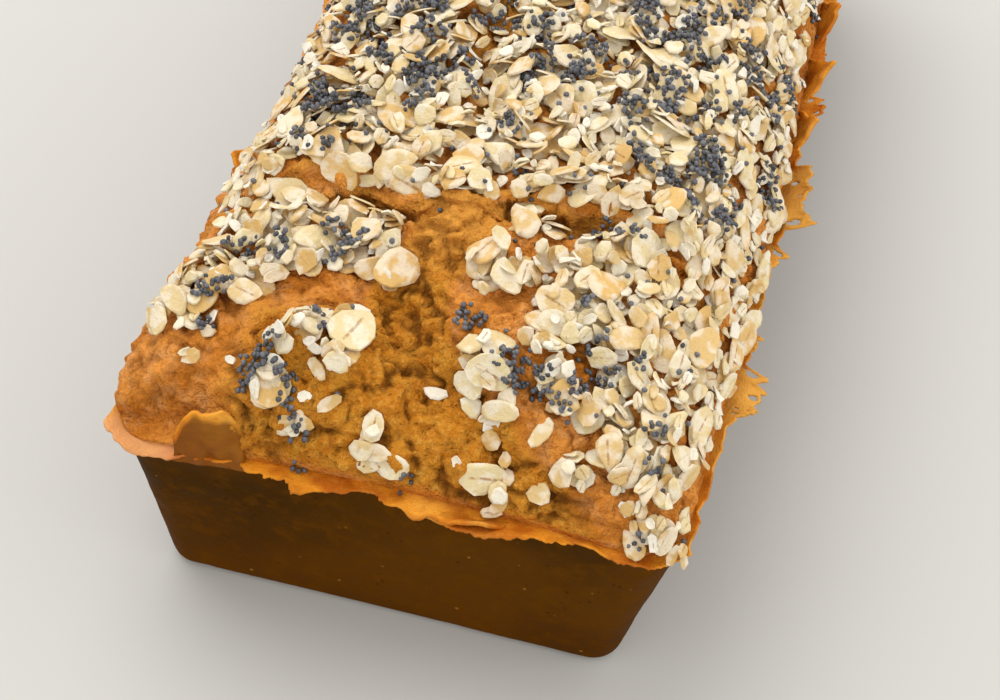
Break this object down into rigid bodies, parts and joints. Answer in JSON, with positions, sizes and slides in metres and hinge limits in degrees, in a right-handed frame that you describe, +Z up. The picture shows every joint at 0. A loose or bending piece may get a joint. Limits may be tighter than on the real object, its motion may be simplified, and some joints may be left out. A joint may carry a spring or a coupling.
{
  "type": "tin loaf",
  "caption": "Oblong bread loaf with tapered tin-shaped sides, a thin ragged crust lip round the rim and a split, domed top scattered with oat flakes and poppy seeds.",
  "frame": {"origin": "centre of the flat underside, at the bottom centre of the loaf's outer box", "axes": "+X across the loaf, +Y along it with the pictured end at -Y, +Z up"},
  "size_m": [0.119, 0.234, 0.077],
  "materials": {
    "crust": "dull baked crust, golden brown"
  },
  "bodies": {
    "root": {"loaf": "crust"}
  },
  "joints": []
}
